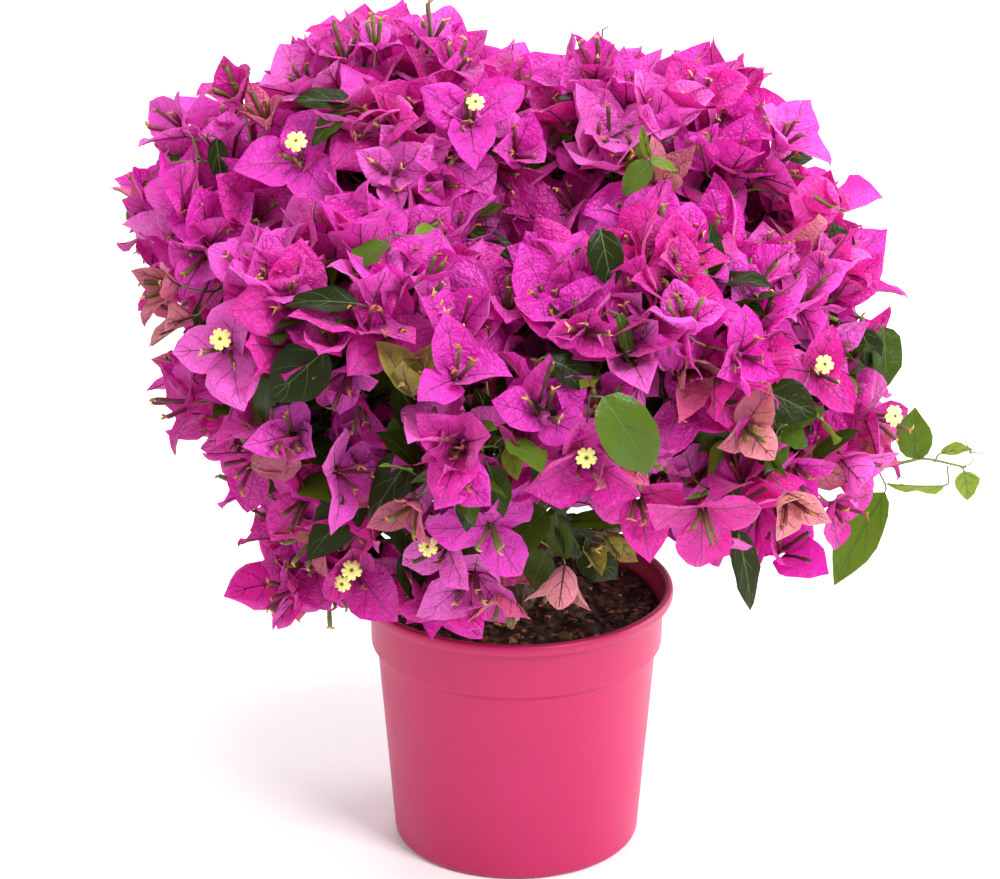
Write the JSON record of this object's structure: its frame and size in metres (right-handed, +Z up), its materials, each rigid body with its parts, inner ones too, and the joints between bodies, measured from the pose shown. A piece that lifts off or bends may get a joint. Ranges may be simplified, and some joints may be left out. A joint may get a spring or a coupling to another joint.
{
  "type": "potted bougainvillea bush",
  "caption": "Round bougainvillea bush covered in magenta papery bracts, on a short woody stem with spreading boughs, growing in a tapered plastic nursery pot of compost.",
  "frame": {"origin": "the middle of the pot's flat underside, at the level that the pot stands on", "axes": "+Z up; +X towards the side where the long young shoot leans out of the crown; -Y towards the viewer, the side with the hanging skirts of blossom"},
  "size_m": [0.4658, 0.3988, 0.4558],
  "materials": {
    "pot_plastic": "satin moulded polypropylene, deep pink",
    "compost": "moist, crumbly, dark brown",
    "bark": "rough grey-brown bark with fine lengthwise cracks",
    "green_stem": "soft young green stem",
    "blossom": "papery magenta bracts with fine raised veins",
    "foliage": "smooth, slightly glossy green leaves"
  },
  "bodies": {
    "root": {"pot": "pot_plastic", "compost": "compost", "stem": "bark", "left_top_bough": "bark", "right_top_bough": "bark", "back_top_bough": "bark", "left_front_bough": "bark", "right_front_bough": "bark", "left_bough": "bark", "right_bough": "bark", "back_left_bough": "bark", "back_right_bough": "bark", "front_bough": "bark", "low_back_bough": "bark", "low_left_front_bough": "bark", "low_right_front_bough": "bark", "low_left_bough": "bark", "low_right_bough": "bark", "top_left_mass": "blossom", "top_right_mass": "blossom", "top_back_mass": "blossom", "front_left_shoulder_mass": "blossom", "front_right_shoulder_mass": "blossom", "left_mass": "blossom", "right_mass": "blossom", "back_left_mass": "blossom", "back_right_mass": "blossom", "front_mass": "blossom", "low_back_mass": "blossom", "low_front_left_mass": "blossom", "low_front_right_mass": "blossom", "low_left_mass": "blossom", "low_right_mass": "blossom", "left_skirt_mass": "blossom", "front_skirt_mass": "blossom", "right_skirt_mass": "blossom", "side_shoot": "green_stem", "shoot_tip_leaves": "foliage", "shoot_hanging_leaf": "foliage", "shoot_side_leaf": "foliage"}
  },
  "joints": []
}
